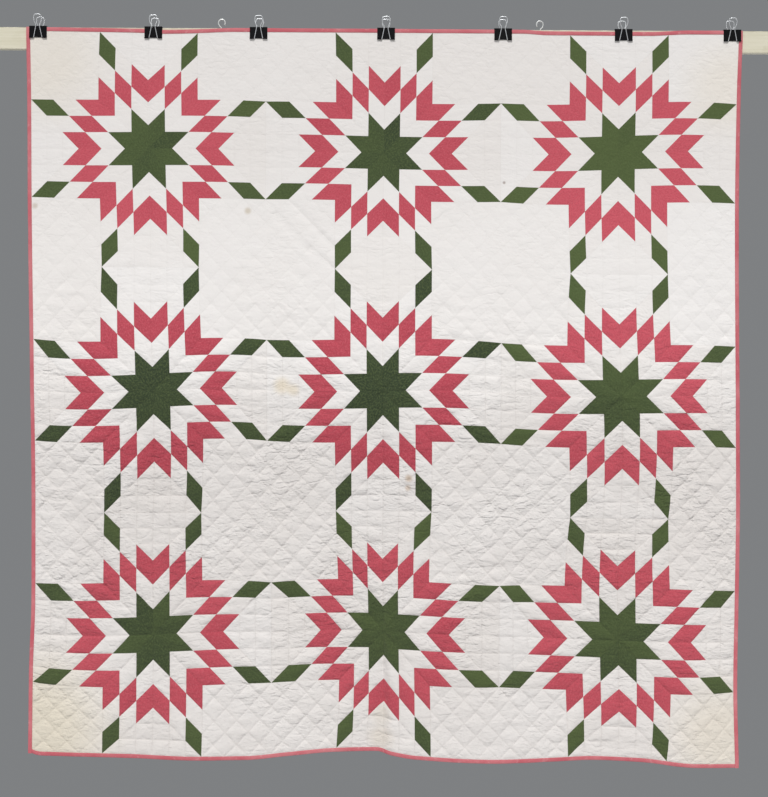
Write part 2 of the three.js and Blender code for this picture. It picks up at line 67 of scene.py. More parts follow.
# The blocks' shapes by row and column, as shifts for each patch side from a block's middle: LEAN to the
# right and HIGH upwards for each side up, WIDE to the right and SLOPE upwards for each side across
LEAN = np.array([(-1.3, 0.7, 0.8), (-1.9, -0.6, -2.3), (-0.7, -1.2, -1.9)])
SLOPE = np.array([(0.9, -1.1, 2.6), (3.9, 1.8, 1.6), (3, -1.7, -1.6)])
WIDE = np.array([(2, -0.9, 1.3), (3.6, 0.5, 6.1), (1, -3.6, 7)])
HIGH = np.array([(1.4, -0.2, 1.6), (-0.8, 2.5, 0.8), (4, 2.4, 4.5)])

# The side edges' shifts to the right: drop, left, right
SIDE_LINES = np.array(
    [(20, -5, 4), (200, -1, -1.5), (520, 2.5, -5), (1010, 12, -1), (1360, 18.5, 1.5), (1650, 20, -2),
     (1870, 14.5, -5.5), (2110, 13.5, -0.5)], float)
# How far the top edge sags below the batten's top: x, sag
TOP_LINE = np.array(
    [(-1025, 0), (-875, 1.5), (-700, 4), (-640, 6.5), (-560, 5), (-425, 0), (0, 0), (400, 0.5), (470, 4.5),
     (760, 5), (880, 0), (1025, 0)], float)
# How far the hem hangs above its regular line: x, rise
HEM_LINE = np.array(
    [(-1025, 36), (-976, 19), (-731, 17), (-530, 9), (-386, 9), (-271, 18.5), (-127, 30.5), (-9, 33),
     (32, 24.5), (104, 14), (334, 5), (507, 9.5), (622, 13.5), (737, 11.5), (910, -3), (1029, -3)], float)
# How far the cloth stands forward of its top edge: x, halfway down, at the hem
FOLDS = np.array(
    [(-1025, 1, 6), (-904, 2, 14), (-731, 3, 24), (-530, 3, 20), (-357, 2, 6), (-213, 0, -4), (-98, 0, -9),
     (-9, -1, -11), (32, 3, 8), (104, 3, 16), (276, 4, 22), (449, 2, 12), (593, 0, 2), (737, 2, 14),
     (910, 3, 26), (1029, 2, 20)], float)
FOLDS_FROM = 90.0  # the drop where the folds begin
CREASE_RISE, CREASE_REACH = 2.5, 30.0  # the old fold across the middle row
CLOTH_BACK = 20.6  # the cloth's back at the top edge, forward of the batten's back face
THICK = 3.0  # along the quilting lines
MARGIN = 10.5  # the bare edge inside the binding
# The binding: its width, its cloth, its gap from the quilt, and how much shallower its hollow is
BIND_WIDE, BIND_LEAF, BIND_GAP, BIND_CORNER = 11.6, 0.7, 0.3, 0.7
BIND_SWELL, BIND_PUCKER = 0.5, 0.35  # how much its edge and its front wander

# The relief of the cloth, as it differs between its top and its hem
STAR_PUFF, PLAIN_PUFF, LOWER_PUFF = 1.7, 1.5, 1.3  # rise between the lines, and what is added below
PRESSED_FROM, PRESSED_TO = 25.0, 110.0  # drops between which the clips' pressure fades
BACK_PUFF, BACK_FROM, BACK_TO = 0.45, 110.0, 170.0  # the share behind, and the drops where it begins
SMOOTH_SHARE, SMOOTH_TO, RUMPLED_AFTER = 0.14, 560.0, 620.0  # the top's share of the full relief
FINE_RIPPLE, BROAD_RIPPLE, CREASE_DEPTH = 3.6, 2.2, 2.0
FINE_SPAN, BROAD_SPAN = (52, 15), (150, 60)  # across and down
CALMER_BY, CALMER_FROM, CALMER_AFTER = 0.35, 1550.0, 450.0  # the ripples near the hem
RIM_FADE, STILL_TO, STILL_AFTER = 22.0, 70.0, 60.0  # no ripples at the edges and under the clips

# The clips: their middles, the tilts of their front and back handles in degrees, their steel, their reach
# below the batten's top, and their gap from the binding and the batten
CLIP_XS = [-996, -664, -361, 6, 343, 690, 1003]
CLIP_TILTS = [(7, 2), (3, 6), (2, 5), (0, 3), (5, 2), (4, 8), (6, 3)]
CLIP_SHEET, CLIP_DROP, CLIP_GAP = 0.7, 32.4, 0.3
WIRE_RADIUS, WIRE_LOOP, WIRE_WAIST, WIRE_LENGTH = 1.1, 11.4, 5.4, 66.0  # loop and waist are half widths
HOOKS = [("hook_left", -469, 1), ("hook_right", 450, -1)]  # name, x, which way the crook opens
HOOK_WIRE, HOOK_FORWARD = 1.75, 9.5  # their radius, and how far they stand before the batten's back face

# Creases pressed into the cloth: from x, z to x, z, with how deep each is
CREASE_WIDE = 7.0
CREASES = np.array([
    (-1002, -1014, -922, -1011, 1), (-812, -1016, -737, -1013, 1), (-455, -1008, -328, -1005, 1.1),
    (-328, -1005, -202, -1010, 1.1), (-138, -1009, -69, -1003, 1), (75, -999, 144, -1005, 1),
    (202, -1007, 305, -1004, 1.1), (0, -542, 1, -755, 1), (-1, -859, -1, -928, 0.8),
    (10, -1757, 16, -1901, 2), (16, -1901, 14, -2040, 2), (348, -886, 348, -992, 1.2),
    (348, -992, 369, -1041, 1.2), (369, -1041, 378, -1116, 1.2), (296, -990, 297, -1065, 0.9),
    (-725, -661, -722, -730, 1), (-259, -474, -175, -563, 1), (-175, -563, -132, -606, 1),
    (-311, -503, -210, -604, 1), (-210, -604, -132, -664, 1), (-457, -732, -408, -703, 0.7),
    (-273, -647, -229, -690, 0.7), (-272, -751, -203, -854, 0.8), (-249, -739, -186, -658, 0.5),
    (-975, -760, -929, -711, 0.6), (-929, -711, -880, -688, 0.6), (-928, -835, -819, -829, 0.6),
    (384, -1179, 439, -1262, 1.1), (468, -1196, 502, -1236, 1.2), (502, -1236, 526, -1288, 1.2),
    (485, -1161, 520, -1239, 0.8), (641, -1290, 690, -1324, 1), (704, -1290, 748, -1327, 1.1),
    (748, -1327, 777, -1373, 1.1), (655, -1333, 682, -1368, 0.8), (590, -930, 630, -965, 0.9),
    (742, -892, 780, -924, 0.9), (590, -1417, 676, -1417, 1), (648, -1460, 671, -1460, 1),
    (699, -1460, 740, -1460, 1), (857, -1249, 891, -1248, 1.2), (886, -1346, 935, -1346, 1.2),
    (852, -1378, 921, -1378, 1.2), (872, -1413, 930, -1412, 1.2), (883, -1326, 995, -1213, 0.9),
    (918, -1355, 1004, -1271, 0.7), (825, -1315, 888, -1257, 0.7), (-995, -1259, -961, -1259, 0.9),
    (-952, -1230, -923, -1230, 0.9), (-900, -1310, -857, -1296, 1.1), (-857, -1296, -808, -1284, 1.1),
    (-957, -1328, -888, -1327, 1), (-928, -1379, -888, -1379, 1), (-879, -1396, -830, -1396, 1),
    (-985, -1518, -864, -1517, 1), (-870, -1540, -821, -1540, 1), (-996, -1720, -921, -1719, 1.2),
    (-690, -1306, -612, -1306, 0.9), (-741, -1353, -707, -1352, 0.9), (-649, -1352, -620, -1352, 0.9),
    (-741, -1381, -698, -1381, 0.8), (-640, -1392, -577, -1401, 0.9), (-454, -1299, -428, -1299, 1),
    (-476, -1340, -439, -1339, 1), (-416, -1333, -376, -1333, 1), (-382, -1232, -342, -1232, 1),
    (-367, -1310, -341, -1310, 1), (-484, -1538, -343, -1523, 1.2), (-343, -1523, -242, -1511, 1.2),
    (-424, -1501, -403, -1500, 0.9), (-435, -1555, -233, -1548, 0.9), (141, -1518, 400, -1513, 1),
    (147, -1538, 395, -1536, 0.8), (159, -1569, 406, -1565, 1), (65, -1239, 85, -1296, 0.9),
    (17, -1440, 37, -1440, 1), (-32, -1447, -6, -1446, 0.9), (192, -1952, 210, -1952, 1),
    (213, -2001, 233, -2001, 1), (282, -2029, 351, -2029, 1), (-162, -2006, -127, -1928, 0.9),
    (375, -1724, 448, -1801, 1), (746, -1609, 778, -1609, 0.9), (599, -2031, 783, -2030, 1.4),
    (844, -2003, 1027, -1832, 1.1), (893, -2026, 1019, -1913, 0.9), (-697, -2064, -628, -2063, 1.1),
    (-12, -899, -9, -1020, 0.8), (3, -870, 5, -1106, 1.2), (18, -893, 14, -1037, 0.7),
    (-663, -897, -662, -1018, 0.6), (682, -895, 680, -1149, 0.6),
], float)

# The places of the hung cloth


def ease(t):
    """A smooth step from 0 to 1."""
    s = np.clip(t, 0, 1)
    return s * s * (3 - 2 * s)


def along(table, column, at):
    """The smooth curve of one column of a table over its first, which turns only at the table's rows."""
    key, value = table[:, 0], table[:, column]
    step = np.diff(value) / np.diff(key)
    before, after = np.r_[step[0], step], np.r_[step, step[-1]]
    total = np.where(before + after == 0, 1, before + after)
    slope = np.where(before * after <= 0, 0, 2 * before * after / total)
    i = np.clip(np.searchsorted(key, at, side="right") - 1, 0, len(key) - 2)
    span = key[i + 1] - key[i]
    t = np.clip((at - key[i]) / span, 0, 1)
    s = ease(t)
    bend = slope[i] * t * (1 - t) ** 2 - slope[i + 1] * t * t * (1 - t)
    return value[i] * (1 - s) + value[i + 1] * s + bend * span


def block_place(t, sizes):
    """How far along three blocks of the given sizes a place t block widths from the middle lies."""
    at = np.clip(t + 1.5, 0, 3)
    block = np.minimum(at.astype(int), 2)
    before = np.r_[0, np.cumsum(sizes)[:2]]
    return before[block] + (at - block) * sizes[block]


def shift_at(table, beside, t, first, last):
    """The shift t half blocks from the first edge, between the two edges' shifts and a table's."""
    row = np.minimum(beside.astype(int), 1)
    share = ease(beside - row)
    places = [first, *(table[row, k] * (1 - share) + table[row + 1, k] * share for k in range(5)), last]
    k = np.minimum(t.astype(int), 5)
    stack, here = np.stack(places), np.arange(len(t))
    return stack[k, here] * (1 - ease(t - k)) + stack[k + 1, here] * ease(t - k)


def shape_at(u, v):
    """The shift from each block's own shape, which fades towards the block's edges."""
    column = np.clip(np.floor(u / (2 * HALF_BLOCK) + 0.5), -1, 1).astype(int)
    row = np.clip(np.floor(v / (2 * HALF_BLOCK) + 0.5), -1, 1).astype(int)
    over, up = u - column * 2 * HALF_BLOCK, v - row * 2 * HALF_BLOCK
    share = (1 - (over / HALF_BLOCK) ** 2) * (1 - (up / HALF_BLOCK) ** 2)
    at = (1 - row, column + 1)
    return share * (LEAN[at] * up + WIDE[at] * over), share * (SLOPE[at] * over + HIGH[at] * up)


def hang(u, v):
    """Where places on the flat cloth hang: x, z, how far their back is forward, and their drop."""
    p, q = u / (2 * HALF_BLOCK), v / (2 * HALF_BLOCK)
    drop = BIND_WIDE + block_place(-q, ROW_HEIGHTS)
    right, up = shape_at(u, v)
    sides = along(SIDE_LINES, 1, drop), along(SIDE_LINES, 2, drop)
    x = LEFT_EDGE + block_place(p, COLUMN_WIDTHS) + right
    x = x + shift_at(ACROSS, np.clip(1 - q, 0, 2), np.clip(2 * p + 3, 0, 6), *sides)
    ends = -along(TOP_LINE, 1, x), along(HEM_LINE, 1, x)
    rise = shift_at(DOWN, np.clip(p + 1, 0, 2), np.clip(3 - 2 * q, 0, 6), *ends) + up
    t = np.clip((drop - FOLDS_FROM) / (LENGTH - FOLDS_FROM), 0, 1)
    folds = along(FOLDS, 1, x) * np.sin(np.pi * t) + along(FOLDS, 2, x) * t**3
    crease = CREASE_RISE * np.exp(-np.abs(v) * PATCH_SIDE / CREASE_REACH)
    return x, BATTEN_TOP - drop + rise, CLOTH_BACK + folds + crease, drop


def relief_at(drop):
    """How much of the full relief the cloth shows: it hangs almost smooth above, and rumples lower down."""
    return SMOOTH_SHARE + (1 - SMOOTH_SHARE) * ease((drop - SMOOTH_TO) / RUMPLED_AFTER)


def creases_at(x, z):
    """How far the pressed creases set the cloth back."""
    depth = np.zeros_like(x)
    for x0, z0, x1, z1, deep in CREASES:
        run = math.hypot(x1 - x0, z1 - z0)
        way = ((x1 - x0) / run, (z1 - z0) / run)
        on = (x - x0) * way[0] + (z - z0) * way[1]
        off = (x - x0) * way[1] - (z - z0) * way[0]
        near = (np.abs(off) < 4 * CREASE_WIDE) & (on > -2 * CREASE_WIDE) & (on < run + 2 * CREASE_WIDE)
        past = np.maximum(np.maximum(-on[near], on[near] - run), 0)
        depth[near] += deep * np.exp(-((off[near] / CREASE_WIDE) ** 2) - (past / (1.2 * CREASE_WIDE)) ** 2)
    return depth


def ripples_at(x, z):
    """Uneven ripples that run across the cloth: short low ones and long high ones."""
    ripples = []
    for wide, high, seed in [(*FINE_SPAN, 3.3), (*BROAD_SPAN, 12.3)]:
        ripples.append(np.array([noise.noise((a / wide, b / high, seed)) for a, b in zip(x, z)]))
    return ripples


# Cells: each patch or quilted cell is a grid on the flat cloth, raised between its lines

# Steps of the grids. Those of the fronts are finer near the quilting lines
FINE = np.array([0, 0.05, 0.17, 0.33, 0.5, 0.67, 0.83, 0.95, 1])  # along a side one patch long
SHORT = np.array([0, 0.07, 0.26, 0.5, 0.74, 0.93, 1])  # along the other quilting lines
BACK = np.array([0, 1 / 3, 2 / 3, 1])  # behind
PUFF_FROM, PUFF_TO = 0.55, 1.35  # shares of the usual height, as cells differ
WHITE, PINK, GREEN, PLAIN_BACK = range(4)  # the quilt's materials
DIAMOND_COLOURS = [GREEN, WHITE, PINK, WHITE, GREEN]  # from a star's middle out to its points
STAR_TONES = np.array([(0.6, 0.35, 1), (0, 0, 0.6), (0.45, 0.5, 0.6)])  # how faded each star is
rng = np.random.default_rng(1875)


def zip_rows(a, ta, b, tb):
    """Triangles between two rows of points, a below and b above, both from left to right."""
    faces, i, j = [], 0, 0
    while i < len(a) - 1 or j < len(b) - 1:
        if j == len(b) - 1 or (i < len(a) - 1 and ta[i + 1] <= tb[j + 1]):
            faces.append((a[i], a[i + 1], b[j]))
            i += 1
        else:
            faces.append((a[i], b[j + 1], b[j]))
            j += 1
    return faces


def square_grid(steps):
    """For a four-cornered cell, each point's shares of the corners, the faces, and how it swells."""
    n = len(steps)
    s, t = (g.ravel() for g in np.meshgrid(steps, steps))
    shares = np.stack([(1 - s) * (1 - t), s * (1 - t), s * t, (1 - s) * t], 1)
    k = (np.arange(n - 1)[:, None] * n + np.arange(n - 1)).ravel()
    lower, upper = np.stack([k, k + 1, k + n + 1], 1), np.stack([k, k + n + 1, k + n], 1)
    other_lower, other_upper = np.stack([k, k + 1, k + n], 1), np.stack([k + 1, k + n + 1, k + n], 1)
    flip = (((k % n) < (n - 1) / 2) ^ ((k // n) < (n - 1) / 2))[:, None]
    faces = np.concatenate([np.where(flip, other_lower, lower), np.where(flip, other_upper, upper)])
    arch = [1 - np.abs(2 * a - 1) ** 2.2 for a in (s, t)]
    return shares, faces, (arch[0] * arch[1]) ** 0.8


def corner_grid(steps, long_steps):
    """The same for a three-cornered cell, its right angle first. long_steps are those of its long side."""
    n, shares, index = len(steps) - 1, [], {}
    for i in range(n):
        for j in range(n - i):
            index[i, j] = len(shares)
            shares.append((1 - steps[i] - steps[j], steps[i], steps[j]))
    faces = []
    for i in range(n - 1):
        for j in range(n - 1 - i):
            faces.append((index[i, j], index[i + 1, j], index[i, j + 1]))
            if i + j < n - 2:
                faces.append((index[i + 1, j], index[i + 1, j + 1], index[i, j + 1]))
    inner = [index[n - 1 - j, j] for j in range(n)]
    at = np.array([shares[k][2] for k in inner])
    outer = list(range(len(shares), len(shares) + len(long_steps)))
    shares += [(0, 1 - t, t) for t in long_steps]
    faces += [(a, c, b) for a, b, c in zip_rows(inner, (at - at[0]) / (at[-1] - at[0]), outer, long_steps)]
    shares = np.array(shares)
    product = np.clip(27 * shares.prod(1), 0, 1)
    return shares, np.array(faces), product**0.6


class Cloth:
    """Cells laid on the flat cloth, then welded where they meet."""

    def __init__(self):
        self.places, self.puffs, self.faces, self.tints, self.runs, self.grain = [], [], [], [], [], []
        self.count = 0

    def add(self, corners, grid, puff, colour, shade, turn=0.0):
        """Lays one cell, with how far each face is from its nearest quilting line and its weave's way."""
        shares, faces, pillow = grid
        corners = np.array(corners)
        places = shares @ corners
        self.places.append(places)
        swell = pillow * rng.uniform(PUFF_FROM, PUFF_TO)
        self.puffs.append(np.stack([swell, np.full(len(places), puff)], 1))
        self.faces.append(faces + self.count)
        self.tints.append(np.stack([np.full(len(faces), colour), np.full(len(faces), shade)], 1))
        flat = places[faces] * PATCH_SIDE
        middle = flat.mean(1)
        ends = np.roll(corners, -1, 0) * PATCH_SIDE
        starts = corners * PATCH_SIDE
        ways = (ends - starts) / np.linalg.norm(ends - starts, axis=1)[:, None]
        off = np.stack([(middle - s) @ np.array([-w[1], w[0]]) for s, w in zip(starts, ways)], 1)
        near = off.argmin(1)
        w, s = ways[near][:, None, :], starts[near][:, None, :]
        across = (flat - s)[..., 0] * -w[..., 1] + (flat - s)[..., 1] * w[..., 0]
        on = (flat - s)[..., 0] * w[..., 0] + (flat - s)[..., 1] * w[..., 1]
        self.runs.append(np.stack([across, on], 2) * MM)
        c, d = math.cos(turn), math.sin(turn)
        grain = [flat[..., 0] * c + flat[..., 1] * d, flat[..., 1] * c - flat[..., 0] * d]
        self.grain.append(np.stack(grain, 2) * MM)
        self.count += len(places)

    def weld(self):
        """The places without doubles, with their puffs and the faces."""
        places = np.concatenate(self.places)
        keys = np.round(places * 5000).astype(np.int64)
        _, first, back = np.unique(keys[:, 0] * 10**7 + keys[:, 1], return_index=True, return_inverse=True)
        faces = back.ravel()[np.concatenate(self.faces)]
        return places[first], np.concatenate(self.puffs)[first], faces


def lay_cells(cloth, quad, short_quad, corner):
    """All cells of the patchwork. quad is a diamond's grid, short_quad a square's, corner a half cell's."""
    for column in range(3):
        for row in range(3):
            bu, bv = (2 * column - 2) * HALF_BLOCK, (2 - 2 * row) * HALF_BLOCK
            lay_star(cloth, bu, bv, quad, STAR_TONES[row, column])
            lay_sides(cloth, bu, bv, short_quad, corner)
    seams = (-3 * HALF_BLOCK, -HALF_BLOCK, HALF_BLOCK, 3 * HALF_BLOCK)
    for bu in seams:
        for bv in seams:
            lay_square(cloth, bu, bv, short_quad, corner)


def lay_star(cloth, bu, bv, quad, tone):
    """One star of eight points, each of three by three diamonds."""
    for k in range(8):
        a, b = (np.array([math.cos(t), math.sin(t)]) for t in (k * math.pi / 4, (k + 1) * math.pi / 4))
        for i in range(PATCHES):
            for j in range(PATCHES):
                at = lambda m, n: (bu, bv) + m * a + n * b
                corners = [at(i, j), at(i + 1, j), at(i + 1, j + 1), at(i, j + 1)]
                shade, turn = 0.65 * tone + 0.25 * rng.random() + 0.05 * (i + j), (k + 0.5) * math.pi / 4
                cloth.add(corners, quad, STAR_PUFF, DIAMOND_COLOURS[i + j], shade, turn)


def lay_square(cloth, bu, bv, quad, corner):
    """The plain square where blocks meet, quilted on the diagonal and cut off at the quilt's edges."""
    def within(u, v):
        return max(abs(u), abs(v)) < HALF_SQUARE + 0.01 and max(abs(bu + u), abs(bv + v)) < EDGE + 0.01

    ways = [(0.5, 0), (0, 0.5), (-0.5, 0), (0, -0.5)]
    shade = rng.random()
    for i in range(-2 * HALF_SQUARE, 2 * HALF_SQUARE + 1):
        for j in range(-2 * HALF_SQUARE, 2 * HALF_SQUARE + 1):
            u, v = i / 2, j / 2
            if (i + j) % 2 == 0 or not within(u, v):
                continue
            kept = [within(u + a, v + b) for a, b in ways]
            corners = [(bu + u + a, bv + v + b) for a, b in ways]
            if all(kept):
                cloth.add(corners, quad, PLAIN_PUFF, WHITE, shade)
                continue
            first = (kept.index(False) + 2) % 4
            cloth.add([corners[(first + n) % 4] for n in (0, 1, 3)], corner, PLAIN_PUFF, WHITE, shade)


def lay_sides(cloth, bu, bv, quad, corner):
    """The plain triangles at a block's four sides."""
    for k in range(4):
        c, s = round(math.cos(k * math.pi / 2)), round(math.sin(k * math.pi / 2))
        shade = rng.random()

        def at(over, depth):
            out, side = HALF_BLOCK - depth * SQUARE, over * SQUARE
            return bu + out * c - side * s, bv + out * s + side * c

        for d in range(PATCHES):
            r = PATCHES - d
            cloth.add([at(1 - r, d), at(1 - r, d + 1), at(-r, d)], corner, PLAIN_PUFF, WHITE, shade)
            cloth.add([at(r - 1, d), at(r, d), at(r - 1, d + 1)], corner, PLAIN_PUFF, WHITE, shade)
            for n in range(1 - r, r - 1):
                corners = [at(n, d), at(n + 1, d), at(n + 1, d + 1), at(n, d + 1)]
                cloth.add(corners, quad, PLAIN_PUFF, WHITE, shade)


# The quilt as one closed sheet


def place_points(places, lift, shift=0):
    """Points in metres for places on the flat cloth, each lifted off the cloth's back and shifted in mm."""
    x, z, forward, _ = hang(places[:, 0], places[:, 1])
    shift = np.broadcast_to(shift, places.shape)
    return np.stack([x + shift[:, 0], -(forward + lift), z + shift[:, 1]], 1) * MM


# Name, the axis across it, its end of that axis, which way it runs, and outwards
SIDES = [
    ("bottom", 1, -1, 1, (0, -1)), ("right", 0, 1, 1, (1, 0)),
    ("top", 1, 1, -1, (0, 1)), ("left", 0, -1, -1, (-1, 0)),
]


def side_row(places, side):
    """The welded points along one side of the patchwork, anticlockwise."""
    _, axis, sign, way, _ = side
    on = np.flatnonzero(np.abs(places[:, axis] - sign * EDGE) < 1e-6)
    return on[np.argsort(way * places[on, 1 - axis])]


def ripple(places):
    """How far ripples and creases move the sheet forward, in mm."""
    x, z, _, drop = hang(places[:, 0], places[:, 1])
    fine, broad = ripples_at(x, z)
    strength = relief_at(drop) - CALMER_BY * ease((drop - CALMER_FROM) / CALMER_AFTER)
    inside = np.minimum(EDGE - np.abs(places[:, 0]), EDGE - np.abs(places[:, 1])) * PATCH_SIDE
    fade = ease(inside / RIM_FADE) * ease((drop - STILL_TO) / STILL_AFTER)
    return fade * (strength * (FINE_RIPPLE * fine + BROAD_RIPPLE * broad) - CREASE_DEPTH * creases_at(x, z))


def puff_height(puffs, drop):
    """How high the cells stand between their quilting lines, in mm."""
    full = (puffs[:, 1] + LOWER_PUFF) * relief_at(drop)
    return puffs[:, 0] * full * ease((drop - PRESSED_FROM) / (PRESSED_TO - PRESSED_FROM))


def make_quilt():
    """The quilt, and its patchwork's outermost places by side."""
    front, back = Cloth(), Cloth()
    lay_cells(front, square_grid(FINE), square_grid(SHORT), corner_grid(SHORT, FINE))
    lay_cells(back, square_grid(BACK), square_grid(BACK), corner_grid(BACK, BACK))
    places_f, puffs_f, faces_f = front.weld()
    places_b, puffs_b, faces_b = back.weld()
    drop_f, drop_b = hang(*places_f.T)[3], hang(*places_b.T)[3]
    points_f = place_points(places_f, THICK + puff_height(puffs_f, drop_f) + ripple(places_f))
    below = ease((drop_b - BACK_FROM) / (BACK_TO - BACK_FROM))
    points_b = place_points(places_b, ripple(places_b) - BACK_PUFF * puff_height(puffs_b, drop_b) * below)

    ring_places, ring_shift, rows_f, rows_b, rows_o = [], [], [], [], []
    for n, side in enumerate(SIDES):
        row, out, after = side_row(places_f, side), side[4], SIDES[(n + 1) % 4][4]
        rows_f.append(row)
        rows_b.append(side_row(places_b, side))
        start = sum(map(len, ring_places))
        ring_places += [places_f[row], places_f[row[-1:]]]
        ring_shift += [np.tile(out, (len(row), 1)), np.add([out], [after])]
        rows_o.append(list(range(start, start + len(row) + 1)))
    ring_places, ring_shift = np.concatenate(ring_places), np.concatenate(ring_shift) * MARGIN
    ring = len(ring_places)
    ring_f, ring_b = (place_points(ring_places, lift, ring_shift) for lift in (THICK, 0))
    points = np.concatenate([points_f, points_b, ring_f, ring_b])
    to_b, to_of = len(points_f), len(points_f) + len(points_b)
    to_ob = to_of + ring

    edge_f, edge_b, rim = [], [], []
    for n, side in enumerate(SIDES):
        way, axis = side[3], side[1]
        f, b, o, after = rows_f[n], rows_b[n], rows_o[n], rows_o[(n + 1) % 4][0]
        t_f, t_b = way * places_f[f, 1 - axis], way * places_b[b, 1 - axis]
        edge_f += zip_rows([to_of + k for k in o[:-1]], t_f, list(f), t_f)
        edge_b += zip_rows([to_ob + k for k in o[:-1]], t_f, [to_b + k for k in b], t_b)
        edge_f += [(f[-1], to_of + o[-2], to_of + o[-1]), (f[-1], to_of + o[-1], to_of + after)]
        edge_b += [(to_b + b[-1], to_ob + o[-2], to_ob + o[-1])]
        edge_b += [(to_b + b[-1], to_ob + o[-1], to_ob + after)]
    for k in range(ring):
        m = (k + 1) % ring
        rim += [(to_of + k, to_ob + k, to_of + m), (to_ob + k, to_ob + m, to_of + m)]
    edge_f, edge_b, rim = np.array(edge_f), np.array(edge_b)[:, ::-1], np.array(rim)
    faces = np.concatenate([faces_f, edge_f, rim, faces_b[:, ::-1] + to_b, edge_b])

    tints_f = np.concatenate(front.tints)
    bare = len(edge_f) + len(rim)
    backs = len(faces_b) + len(edge_b)
    colours = np.r_[tints_f[:, 0], np.full(bare, WHITE), np.full(backs, PLAIN_BACK)].astype(int)
    shades = np.r_[tints_f[:, 1], np.full(bare + backs, 0.5)]
    unquilted = [np.full((m, 3, 2), 0.02) for m in (bare, len(edge_b))]
    runs = np.concatenate([*front.runs, unquilted[0], *[r[:, ::-1] for r in back.runs], unquilted[1]])
    weave_rim = points[np.concatenate([edge_f, rim])][..., [0, 2]]
    weave_back = points[np.concatenate([faces_b[:, ::-1] + to_b, edge_b])][..., [0, 2]]
    weave = np.concatenate([*front.grain, weave_rim, weave_back])

    low, high = points.min(0), points.max(0)
    plan = (points[faces][..., [0, 2]] - low[[0, 2]]) / (high - low)[[0, 2]]
    behind = colours == PLAIN_BACK
    atlas = np.stack([0.005 + 0.485 * plan[..., 0], 0.01 + 0.98 * plan[..., 1]], 2)
    atlas[behind, :, 0] = 0.995 - 0.485 * plan[behind, :, 0]

    mesh = bpy.data.meshes.new("quilt_cloth")
    mesh.from_pydata(points.tolist(), [], faces.tolist())
    for name, values in [("OFBake", atlas), ("Run", runs), ("Weave", weave)]:
        layer = mesh.uv_layers.new(name=name)
        layer.data.foreach_set("uv", np.ascontiguousarray(values, dtype=np.float32).ravel())
    shade = mesh.attributes.new("shade", "FLOAT", "FACE")
    shade.data.foreach_set("value", shades.astype(np.float32))
    mesh.polygons.foreach_set("material_index", colours.astype(np.int32))
    mesh.shade_smooth()
    quilt = bpy.data.objects.new("quilt_cloth", mesh)
    bpy.context.collection.objects.link(quilt)
    return quilt, {side[0]: (places_f[row], side) for row, side in zip(rows_f, SIDES)}


# Binding strips


def new_mesh(name, points, faces, material, sharp):
    """A smooth piece, except where its faces meet at more than the angle sharp, in degrees."""
    mesh = bpy.data.meshes.new(name)
    mesh.from_pydata([tuple(p) for p in points], [], faces)
    mesh.shade_smooth()
    mesh.set_sharp_from_angle(angle=math.radians(sharp))
    piece = bpy.data.objects.new(name, mesh)
    bpy.context.collection.objects.link(piece)
    mesh.materials.append(material)
    return piece


def loft_faces(rings, count):
    """The faces of a closed loft through rings of points."""
    faces = []
    for k in range(rings - 1):
        for i in range(count):
            j = (i + 1) % count
            faces.append((k * count + i, k * count + j, (k + 1) * count + j, (k + 1) * count + i))
    faces.append(tuple(reversed(range(count))))
    faces.append(tuple(range((rings - 1) * count, rings * count)))
    return faces


def outward(piece):
    """Turns a closed piece's faces outwards."""
    mesh = piece.data
    mesh.calc_loop_triangles()
    volume = sum(
        Vector(mesh.vertices[t.vertices[0]].co).dot(
            Vector(mesh.vertices[t.vertices[1]].co).cross(mesh.vertices[t.vertices[2]].co))
        for t in mesh.loop_triangles)
    if volume < 0:
        mesh.flip_normals()
    return piece


def binding_section():
    """The folded strip's section: out from the patchwork's edge, and forward from the cloth's back."""
    inner = MARGIN + BIND_GAP
    low, high = -BIND_GAP - BIND_LEAF, THICK + BIND_GAP + BIND_LEAF
    middle, half = (low + high) / 2, (high - low) / 2
    nose = [(BIND_WIDE - half + half * math.cos(t), middle + half * math.sin(t))
            for t in np.linspace(-math.pi / 2, math.pi / 2, 9)]
    front = [(BIND_WIDE - half - 2.6, high + 0.45), (4.6, high + 0.6), (1.4, high + 0.4), (0.2, high)]
    deep = inner - BIND_CORNER
    hollow = [(0, THICK + BIND_GAP), (deep, THICK + BIND_GAP), (deep, -BIND_GAP), (0, -BIND_GAP)]
    return np.array([(0, low), *nose, *front, *hollow])


def make_binding(name, places, side, material):
    """A strip along one side, which swells and puckers a little."""
    way, out = side[3:]
    upright = out[1] == 0
    reach = BIND_WIDE if upright else -BIND_GAP
    along_way = np.array([0, way]) if upright else np.array([way, 0])
    stations = np.concatenate([places[:1], places if upright else places[1:-1], places[-1:]])
    ends = np.zeros_like(stations)
    ends[0], ends[-1] = -along_way * reach, along_way * reach
    section = binding_section()
    points = []
    for place, end in zip(stations, ends):
        pucker = noise.noise((place[0] * 4.1, place[1] * 4.1, 7.7))
        swell = noise.noise((place[0] * 1.3, place[1] * 1.3, 2.2))
        width = section[:, 0] + section[:, 0] / BIND_WIDE * BIND_SWELL * swell
        lift = section[:, 1] + np.where(section[:, 1] > THICK + 0.4, BIND_PUCKER * pucker, 0)
        shift = np.outer(width, out) + end
        points.append(place_points(np.tile(place, (len(section), 1)), lift, shift))
    points = np.concatenate(points)
    piece = new_mesh(f"{name}_strip", points, loft_faces(len(stations), len(section)), material, 50)
    return outward(piece)


# Wires


def rounded(points):
    """Corners cut three times over, with the ends kept."""
    for _ in range(3):
        cut = [points[0]]
        for a, b in zip(points[:-1], points[1:]):
            cut += [a * 0.75 + b * 0.25, a * 0.25 + b * 0.75]
        points = [*cut, points[-1]]
    return points


